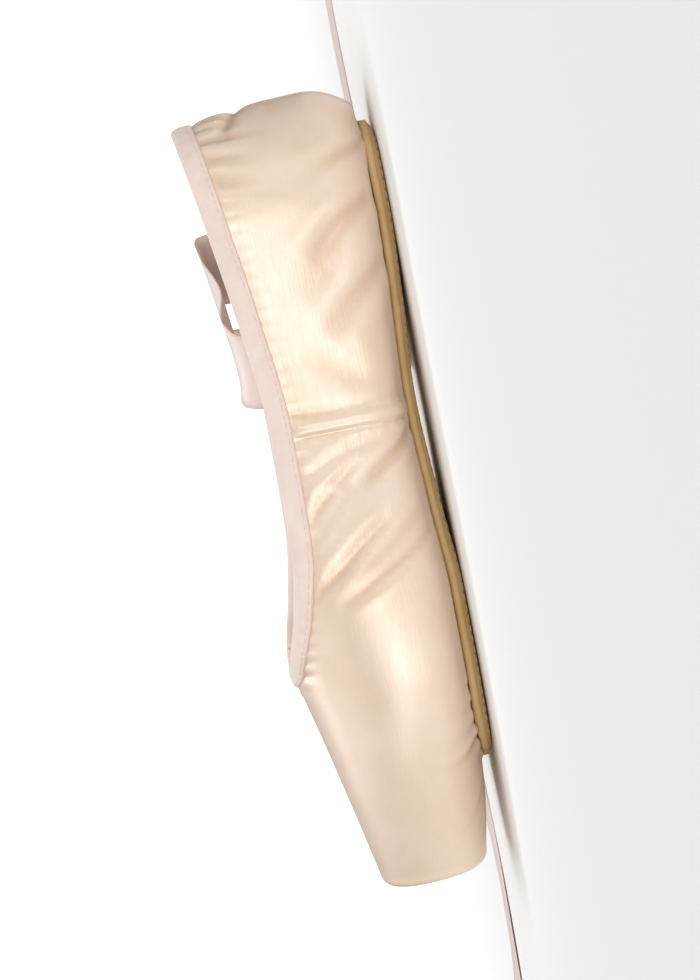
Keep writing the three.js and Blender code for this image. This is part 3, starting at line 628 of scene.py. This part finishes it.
def makeUpper():
    half, run, gone, edgeGone = upperHalf()
    grids = [half, half * (1, -1, 1)]
    heights = [upperHeight(half, run, gone, edgeGone, hand) for hand in ("near", "far")]
    heights[1][:1] = heights[0][:1]  # the two halves meet along the back seam
    every = np.concatenate([g.reshape(-1, 3) for g in grids])
    _, kept, ids = np.unique(np.round(every, 3) + 0.0, axis=0, return_index=True, return_inverse=True)
    ids = ids.ravel().reshape(2, *half.shape[:2])
    points = every[kept]
    height = np.concatenate([h.ravel() for h in heights])[kept]
    centre = np.abs(points[:, 1]) < 1e-3
    points[centre, 1] = 0
    outside = gridFaces(ids[0]) + gridFaces(ids[1], flip=True)
    normals = vertexNormals(points, outside)
    normals[centre, 1] = 0
    outer = points + normals * height[:, None]
    inner = points - normals * (last["wall"] - 0.4 * height[:, None])
    faces = doubleSkin(outside, len(points))
    which = np.zeros(len(faces))
    which[len(outside) : 2 * len(outside)] = 1
    # Painted shade: the deeper a trough, the more of the deep colour, up to a cap
    creaseShade = np.clip(-height / 1.5, 0, 0.42)
    mesh = makeMesh("upper_satin", np.vstack([outer, inner]), faces, [satin, lining], which,
                    marks=dict(creaseShade=np.concatenate([creaseShade, creaseShade * 0])))
    addPiece(mesh, "upper")
    print(f"stage: upper, {len(faces)} faces")


makeUpper()


# Repeats: small rounded bodies set along a line or on points, made by Geometry Nodes and kept as a mesh
def repeatTree(name, alongLine):
    sizes = dict(Spacing="Float", Length="Float", Width="Float", Height="Float")
    tree, given, end = newGroup(
        name, "GeometryNodeTree", dict(Geometry="Geometry", **sizes, Seed="Int", Material="Material"),
        dict(Geometry="Geometry"))
    body = addNode(tree, "GeometryNodeMeshUVSphere", {"Segments": 10, "Rings": 6, "Radius": 0.5})
    size = addNode(tree, "ShaderNodeCombineXYZ", dict(X=given["Length"], Y=given["Width"], Z=given["Height"]))
    shaped = addNode(tree, "GeometryNodeTransform", dict(Geometry=body, Scale=size))
    smoothed = addNode(tree, "GeometryNodeSetShadeSmooth", dict(Geometry=shaped))
    uneven = addNode(tree, "FunctionNodeRandomValue", data_type="FLOAT", inputs=dict(
        Min=0.92, Max=1.06, Seed=given["Seed"]))
    copies = addNode(tree, "GeometryNodeInstanceOnPoints", dict(Instance=smoothed, Scale=uneven))
    if alongLine:
        evenly = addNode(tree, "GeometryNodeResampleCurve", mode="LENGTH", inputs=dict(
            Curve=given["Geometry"], Length=given["Spacing"]))
        heading = addNode(tree, "GeometryNodeInputTangent")
        turned = addNode(tree, "FunctionNodeAlignRotationToVector", dict(Vector=heading), axis="X")
        feed(tree, copies, dict(Points=evenly, Rotation=turned))
    else:
        feed(tree, copies, dict(Points=given["Geometry"]))
    solid = addNode(tree, "GeometryNodeRealizeInstances", dict(Geometry=copies))
    coloured = addNode(tree, "GeometryNodeSetMaterial", dict(Geometry=solid, Material=given["Material"]))
    feed(tree, end, dict(Geometry=coloured))
    return tree


stitchTree = repeatTree("stitches", True)
studTree = repeatTree("studs", False)


# Curve of straight steps through each line of points, open or closed
def lineCurve(name, lines):
    data = bpy.data.curves.new(name, "CURVE")
    data.dimensions = "3D"
    for points, closed in lines:
        spline = data.splines.new("POLY")
        spline.points.add(len(points) - 1)
        spline.points.foreach_set("co", np.column_stack([points * 0.001, np.ones(len(points))]).ravel())
        spline.use_cyclic_u = closed
    return data


# Mesh of what a curve shows, or what a node tree makes of a source; the source and its modifier go
def meshOf(name, data, tree=None, values=None):
    source = bpy.data.objects.new(name + "_source", data)
    scene.collection.objects.link(source)
    if tree:
        modifier = source.modifiers.new("repeat", "NODES")
        modifier.node_group = tree
        sockets = {s.name: s.identifier for s in tree.interface.items_tree if s.in_out == "INPUT"}
        for label, value in values.items():
            modifier[sockets[label]] = value
        source.update_tag()
    bpy.context.view_layer.update()
    made = bpy.data.meshes.new_from_object(source.evaluated_get(bpy.context.evaluated_depsgraph_get()))
    made.name = name
    source.modifiers.clear()
    bpy.data.objects.remove(source)
    return made


def makeRepeat(name, points, tree, look, material):
    if tree is stitchTree:
        data = lineCurve(name + "_line", [(points, True)])
    else:
        data = bpy.data.meshes.new(name + "_points")
        data.from_pydata((points * 0.001).tolist(), [], [])
    values = {label.capitalize(): size * 0.001 for label, size in look.items()}
    made = meshOf(name, data, tree, dict(values, Seed=5, Material=material))
    addPiece(made)
    print(f"stage: {name}, {len(made.polygons)} faces")


# Sheet under or inside the last: stations and ways across, then a top, a bottom and the edge between them
def sheetStations(first, final, turn, count):
    ends = 1 - np.cos(np.linspace(0.02, math.pi / 2, max(26, count // 6)))
    body = np.linspace(first + turn, final - turn, count)
    return np.unique(np.concatenate([first + turn * ends, body, final - turn * ends]))


def sheetGrid(stations, half, across):
    share = np.sin(np.linspace(-math.pi / 2, math.pi / 2, across))
    return np.repeat(stations[:, None], across, axis=1), share[None] * half(stations)[:, None]


def sheetMesh(name, at, y, top, bottom, material, marks):
    points = np.vstack([np.stack([at - fullLength / 2, y, z], axis=-1).reshape(-1, 3) for z in (top, bottom)])
    faces = doubleSkin(gridFaces(np.arange(at.size).reshape(at.shape)), at.size)
    return makeMesh(name, points, faces, [material], marks=marks)


# Outsole: stitched leather with a bare heel and waist and a field of studs under the ball
outsole = dict(
    thick=3.25, topGap=0.18, bottomGap=0.3, bevel=1.1, bevelIn=3.0, stitchIn=3.0, groove=0.4, grooveHalf=0.75,
    fieldIn=5.2, fieldFrom=119.0, recess=0.45, pitch=6.0, rowStep=4.4,
    stud=dict(spacing=0, length=6.6, width=4.5, height=0.86),
    stitch=dict(spacing=3.1, length=2.5, width=0.55, height=0.5))
# The leather's deep colour is painted shade in the stitch groove and the sunk field of studs, and also darkens the
# very edge
leather = clothMaterial("soleLeather", dict(
    light=(222, 191, 140), dark=(211, 175, 116), deep=(168, 126, 72), mask="groove", patch=70.0,
    fineness=900.0, rough=0.6, spread=0.12, bump=0.35, relief=0.0003))
soleThread = clothMaterial("soleThread", dict(
    light=(226, 205, 166), dark=(212, 188, 146), deep=(190, 160, 120), patch=200.0,
    fineness=3000.0, rough=0.7, spread=0.1, bump=0.3, relief=0.0001))


def soleOutline(step, count):
    at = sheetStations(solePlan["heel"], solePlan["toe"], solePlan["toeTurn"], count)
    side = np.stack([at, soleHalf(at)], axis=1)
    ring = np.vstack([side, side[::-1] * (1, -1)])
    ahead = np.roll(ring, -1, axis=0) - np.roll(ring, 1, axis=0)
    return ring + unit(np.stack([ahead[:, 1], -ahead[:, 0]], axis=1)) * step


# Height of the underside, with how far a place is in the groove and in the field of studs
def soleBottom(at, y, fromEdge):
    base = np.maximum(0, undersideAt(at, y) - outsole["bottomGap"] - outsole["thick"])
    rounded = outsole["bevel"] * (1 - smooth(0, outsole["bevelIn"], fromEdge))
    groove = hump(fromEdge - outsole["stitchIn"], outsole["grooveHalf"])
    field = smooth(outsole["fieldIn"] - 0.9, outsole["fieldIn"], fromEdge) * smooth(-3, 0, at - outsole["fieldFrom"])
    return base + rounded + outsole["groove"] * groove + outsole["recess"] * field, groove, field


def soleSpots(places, fromEdge, sink):
    z = soleBottom(places[:, 0], places[:, 1], np.full(len(places), fromEdge))[0]
    return np.stack([places[:, 0] - fullLength / 2, places[:, 1], z - sink], axis=1)


def makeOutsole():
    outline = soleOutline(0.0, 700)
    at, y = sheetGrid(sheetStations(solePlan["heel"] + 0.02, solePlan["toe"] - 0.02, 22, 150), soleHalf, 91)
    top = undersideAt(at, y) - outsole["topGap"]
    fromEdge = nearest(np.stack([at, y], axis=-1), outline)
    bottom, groove, field = soleBottom(at, y, fromEdge)
    # Painted shade in the groove and the sunk stud field, plus a darker band along the edge
    mark = np.clip(0.6 * groove + 0.25 * hump(fromEdge, 0.7) + 0.3 * field, 0, 1)
    mesh = sheetMesh("outsole_leather", at, y, top, np.minimum(bottom, top - 0.6), leather,
                     dict(groove=np.concatenate([np.zeros(mark.size), mark.ravel()])))
    addPiece(mesh, "outsole")
    line = soleOutline(outsole["stitchIn"], 120)[::2]
    makeRepeat("outsole_stitches", soleSpots(line, outsole["stitchIn"], 0.1), stitchTree, outsole["stitch"],
               soleThread)
    studs = []
    for row, s in enumerate(np.arange(outsole["fieldFrom"] + 1.5, solePlan["toe"] - 1, outsole["rowStep"])):
        for w in np.arange(-30, 30.1, outsole["pitch"]) + (outsole["pitch"] / 2 if row % 2 else 0):
            studs.append((s, w))
    studs = np.array(studs)
    inside = np.abs(studs[:, 1]) < soleHalf(studs[:, 0])
    studs = studs[inside & (nearest(studs, outline) > outsole["fieldIn"] + 1.2)]
    makeRepeat("outsole_studs", soleSpots(studs, 20.0, 0.0), studTree, outsole["stud"], leather)


makeOutsole()

# Insole: plain sock along the inner floor
sock = dict(first=10.0, firstTurn=20.0, final=216.0, finalTurn=30.0, share=0.69, gap=0.35, thick=1.9)
sockCloth = clothMaterial("sockCloth", dict(
    light=(245, 235, 220), dark=(238, 226, 208), deep=(214, 197, 174), mask="rim", patch=60.0,
    fineness=1600.0, rough=0.85, spread=0.05, bump=0.4, relief=0.0003))


def sockHalf(at):
    rounding = endShare(at, sock["first"], sock["firstTurn"], sock["final"], sock["finalTurn"], 2.6)
    return sock["share"] * planHalf(at) * rounding


def innerFloor(at, y):
    slopeY = (undersideAt(at, y + 0.2) - undersideAt(at, y - 0.2)) / 0.4
    slopeX = undersideAt(at + 0.5, y) - undersideAt(at - 0.5, y)
    return undersideAt(at, y) + last["wall"] * np.sqrt(1 + slopeY**2 + slopeX**2)


def makeInsole():
    at, y = sheetGrid(sheetStations(sock["first"] + 0.02, sock["final"] - 0.02, 24, 90), sockHalf, 61)
    bottom = innerFloor(at, y) + sock["gap"]
    outline = np.concatenate([np.stack([at[:, k], y[:, k]], 1) for k in (0, -1)])
    fromEdge = nearest(np.stack([at, y], axis=-1), outline)
    rounded = 0.8 * (1 - np.sqrt(1 - np.clip(1 - fromEdge / 1.2, 0, 1) ** 2))
    top = bottom + sock["thick"] - rounded + 0.08 * np.sin(at / 11) * np.sin(y / 6)
    # Painted shade: the sock darkens along its rim, where it meets the wall
    mesh = sheetMesh("insole_sock", at, y, top, bottom, sockCloth,
                     dict(rim=np.tile(0.6 * hump(fromEdge, 1.6).ravel(), 2)))
    addPiece(mesh, "insole")
    print("stage: insole")


makeInsole()

# Binding: folded tape round the collar with the drawstring's swell in it, stitched along its lower edge
binding = dict(  # rows of the section: way down from the collar (or up, in over), then way out from the surface
    outside=((5.6, 0.1), (5.55, 0.6), (5.1, 0.95), (4.3, 1.05), (3.3, 1.3), (2.2, 1.5), (1.1, 1.5), (0.2, 1.35)),
    over=((0.45, 1.1), (0.85, 0.5), (1.02, -0.4), (1.02, -1.4), (0.85, -2.3), (0.45, -2.9)),
    inside=((0.2, -3.15), (1.1, -3.3), (2.2, -3.3), (3.4, -3.1), (4.6, -2.9), (5.5, -2.6), (5.6, -1.9)),
    gather=0.08, gatherPitch=5.2, stitchDown=4.5, stitchOut=1.05,
    stitch=dict(spacing=2.5, length=1.8, width=0.4, height=0.34))
# Its deep colour is painted shade along the tape's lower edge, by the fold mask
tape = clothMaterial("tape", dict(
    light=(241, 223, 213), dark=(234, 213, 202), deep=(216, 188, 172), mask="fold", patch=120.0,
    fineness=1900.0, rough=0.75, spread=0.08, bump=0.35, relief=0.0002, sheen=0.15))
tapeThread = clothMaterial("tapeThread", dict(
    light=(238, 219, 208), dark=(228, 205, 192), deep=(210, 182, 166), patch=300.0,
    fineness=3000.0, rough=0.6, spread=0.1, bump=0.2, relief=0.0001))


def dot(p, q):
    return np.sum(p * q, axis=-1, keepdims=True)


def facingTo(v, goal):
    return v * np.where(dot(v, goal) < 0, -1, 1)


# Steps of the surface along the run and round the section
def surfaceSteps(run, angle, h=0.02):
    alongRun = (surfacePoint(run + h, angle) - surfacePoint(run - h, angle)) / (2 * h)
    aroundSection = (surfacePoint(run, angle + h) - surfacePoint(run, angle - h)) / (2 * h)
    return alongRun, aroundSection


# Surface point and normal a given way down from the collar, square to the collar
def belowCollar(run, over, depth):
    angle = np.arcsin(sectionOf(run)["share"])
    first, second = surfaceSteps(run, angle)
    goal = -over * depth
    aa, ab, bb, ga, gb = (dot(p, q)[:, 0] for p, q in (
        (first, first), (first, second), (second, second), (first, goal), (second, goal)))
    det = aa * bb - ab * ab
    run, angle = run + (ga * bb - gb * ab) / det, angle + (gb * aa - ga * ab) / det
    first, second = surfaceSteps(run, angle)
    return surfacePoint(run, angle), unit(np.cross(second, first))


def makeBinding():
    half = collarLine()[0]
    run = np.concatenate([-half[::-1][1:-1], half[1:]])
    run[np.abs(run) < 1e-6] = 1e-6
    edge = surfacePoint(run, np.arcsin(sectionOf(run)["share"]))
    along = unit(np.roll(edge, -1, axis=0) - np.roll(edge, 1, axis=0))
    normal = facingTo(belowCollar(run, np.zeros_like(edge), 0.0)[1], edge * (0.2, 1, 0) + (0, 0, 12))
    over = facingTo(unit(np.cross(along, normal)), np.array([-30, 0, 70]) - edge)

    def down(depth):
        point, facing = belowCollar(run, over, depth)
        return point, facingTo(facing, normal)

    gone = np.cumsum(np.linalg.norm(np.diff(edge, axis=0, prepend=edge[:1]), axis=1))
    gather = binding["gather"] * np.sin(gone * 2 * math.pi / binding["gatherPitch"])
    rings, deep = [], []
    for depth, off in binding["outside"]:
        point, facing = down(depth)
        rings.append(point + facing * (off + gather * smooth(0, 2, depth))[:, None])
        # Painted shade: the tape darkens where its lower edge tucks against the satin
        deep.append(1 - smooth(0.2, 0.9, off))
    for lift, off in binding["over"]:
        rings.append(edge + over * lift + normal * off)
    for depth, off in binding["inside"]:
        point, facing = down(depth)
        rings.append(point + facing * off)
    deep += [0.0] * (len(rings) - len(deep))
    rings = np.stack(rings, axis=1)
    atThroat = smooth(148, 158, stationOf(run))[:, None, None]
    for _ in range(14):  # rounds the tape's corner at the throat
        rings += atThroat * (np.roll(rings, 1, axis=0) + np.roll(rings, -1, axis=0) - 2 * rings) / 4
    count, size = rings.shape[:2]
    ids = np.pad(np.arange(count * size).reshape(count, size), ((0, 1), (0, 1)), mode="wrap")
    points = rings.reshape(-1, 3)
    faces = gridFaces(ids, flip=True)
    addPiece(makeMesh("binding_tape", points, faces, [tape], marks=dict(fold=np.tile(deep, count))), "binding")
    point, facing = down(binding["stitchDown"])
    makeRepeat("binding_stitches", point + facing * binding["stitchOut"], stitchTree, binding["stitch"], tapeThread)
    print("stage: binding")


makeBinding()

# Sewn ends of the ribbons: a square of hand stitches on the inner face
sewn = dict(first=2.5, final=14.0, half=8.4, lift=0.3, stitch=dict(spacing=2.9, length=2.1, width=0.45, height=0.36))


def sewRibbon(name, route):
    along, centre, wide, flat = followRoute(route, 900)
    corners = np.array([(sewn["first"], -1), (sewn["first"], 1), (sewn["final"], 1), (sewn["final"], -1)])
    t = np.linspace(0, 1, 12, endpoint=False)[None, :, None]
    ways = (corners[:, None] + (np.roll(corners, -1, axis=0) - corners)[:, None] * t).reshape(-1, 2)
    row = np.searchsorted(along, ways[:, 0])
    inward = flat[row] * np.where(flat[row, 1:2] * centre[row, 1:2] > 0, -1, 1)
    spots = centre[row] + wide[row] * sewn["half"] * ways[:, 1:] + inward * sewn["lift"]
    makeRepeat(name + "_stitches", spots, stitchTree, sewn["stitch"], tapeThread)


sewRibbon("ribbon_right", rightRoute)
sewRibbon("ribbon_left", leftRoute)

# Drawstring knot at the throat with its two short ends
knot = dict(ring=1.35, thick=0.72, back=4.8, down=0.6,
            ends=((0.2, 1.3, -0.4), (-1.2, 3.2, -2.2), (-1.5, 4.4, -6), (0.5, 5, -10)))


def makeKnot():
    throat = surfacePoint(runOf(last["throat"]), 0.0)
    centre = np.array([throat[0] - knot["back"], 0, throat[2] - knot["down"]])
    u = np.linspace(0, 4 * math.pi, 160, endpoint=False)
    wide = knot["ring"] * (2 + np.cos(1.5 * u)) * 0.5
    loop = np.stack([wide * np.cos(u), wide * np.sin(u), knot["ring"] * np.sin(1.5 * u) * 0.5], axis=1)
    lines = [(loop + centre, True)]
    for side in (-1, 1):
        ways = np.array(knot["ends"]) * (1, side, 1)
        bends = np.polyfit(np.linspace(0, 1, 4), ways, 3)
        t = np.linspace(0, 1, 24)
        lines.append((np.stack([np.polyval(bends[:, k], t) for k in range(3)], axis=1) + centre, False))
    data = lineCurve("drawstring_cord", lines)
    data.bevel_depth = knot["thick"] * 0.001
    data.bevel_resolution = 4
    data.use_fill_caps = True
    made = meshOf("drawstring_cord", data)
    made.materials.append(tapeThread)
    made.polygons.foreach_set("use_smooth", np.ones(len(made.polygons), dtype=bool))
    addPiece(made, "drawstring_knot")
    print("stage: knot")


makeKnot()

# Floor, backdrop and soft studio light
studio = dict(
    floor=(253, 253, 252), bounce=(118, 116, 112), world=0.5, side=7.0,
    profile=((7.0, 0.0), (-0.35, 0.0)), bend=dict(y=-2.0, round=0.8, turns=12), wall=(-2.8, 3.0),
    lights=(  # name, power, place, aim, width, height, spread in degrees
        ("keyLight", 9.4, (0.48, 2.2, 0.6), (0.0, 0.0, 0.12), 1.34, 1.1, 180),
        ("lowLight", 5.0, (0.26, 2.2, 0.35), (0.0, 0.0, 0.06), 1.16, 0.64, 180),
        ("fillLight", 4.2, (-1.6, 1.8, 0.62), (0.0, 0.0, 0.14), 1.4, 1.15, 180),
        ("topLight", 4.4, (0.0, 0.1, 1.4), (0.0, 0.1, 0.0), 1.4, 1.4, 180),
        ("wallLight", 60.0, (0.0, -1.5, 2.2), (0.0, -2.8, 0.5), 1.5, 1.5, 180),
        ("farLight", 34.0, (0.0, 4.2, 2.2), (0.0, 4.2, 0.0), 4.0, 3.0, 110),
    ))


# White to the eye; behind the shoe it is greyer in the light it throws back on the satin
def backdropMaterial(name, bounce):
    material = bpy.data.materials.new(name)
    material.use_nodes = True
    tree = material.node_tree
    path = addNode(tree, "ShaderNodeLightPath")
    tone = addNode(tree, "ShaderNodeMix", data_type="RGBA", inputs={
        "Factor": path.outputs["Is Camera Ray"], "A": light(*bounce), "B": light(*studio["floor"])})
    feed(tree, tree.nodes["Principled BSDF"], {"Base Color": tone, "Roughness": 0.9, "Specular IOR Level": 0.1})
    return material


def makeBackdrop():
    bend = studio["bend"]
    curve = list(studio["profile"])
    for t in np.linspace(0, math.pi / 2, bend["turns"]):
        curve.append((bend["y"] - bend["round"] * math.sin(t), bend["round"] * (1 - math.cos(t))))
    curve.append(studio["wall"])
    points = [(1000 * side, 1000 * y, 1000 * z) for y, z in curve for side in (-studio["side"], studio["side"])]
    faces = [(2 * i + 2, 2 * i + 3, 2 * i + 1, 2 * i) for i in range(len(curve) - 1)]
    tones = [backdropMaterial("paleFloor", studio["floor"]), backdropMaterial("paleWall", studio["bounce"])]
    mesh = makeMesh("backdrop", points, faces, tones, [0] + [1] * (len(faces) - 1))
    backdrop = bpy.data.objects.new("backdrop", mesh)
    scene.collection.objects.link(backdrop)


def softLight(name, power, place, aim, wide, tall, spread):
    data = bpy.data.lights.new(name, "AREA")
    data.energy = power
    data.shape = "RECTANGLE"
    data.size, data.size_y = wide, tall
    data.spread = math.radians(spread)
    lamp = bpy.data.objects.new(name, data)
    lamp.visible_camera = False
    lamp.location = place
    lamp.rotation_euler = (Vector(aim) - Vector(place)).to_track_quat("-Z", "Y").to_euler()
    scene.collection.objects.link(lamp)


makeBackdrop()
for row in studio["lights"]:
    softLight(*row)
world = bpy.data.worlds.new("studio")
scene.world = world
world.use_nodes = True
seen = addNode(world.node_tree, "ShaderNodeLightPath")
strength = addNode(world.node_tree, "ShaderNodeMapRange", {  # white to the eye, softer as light
    "Value": seen.outputs["Is Camera Ray"], "To Min": studio["world"], "To Max": 1.0})
feed(world.node_tree, world.node_tree.nodes["Background"], dict(Color=(1.0, 1.0, 1.0, 1.0), Strength=strength))
print("stage: studio")
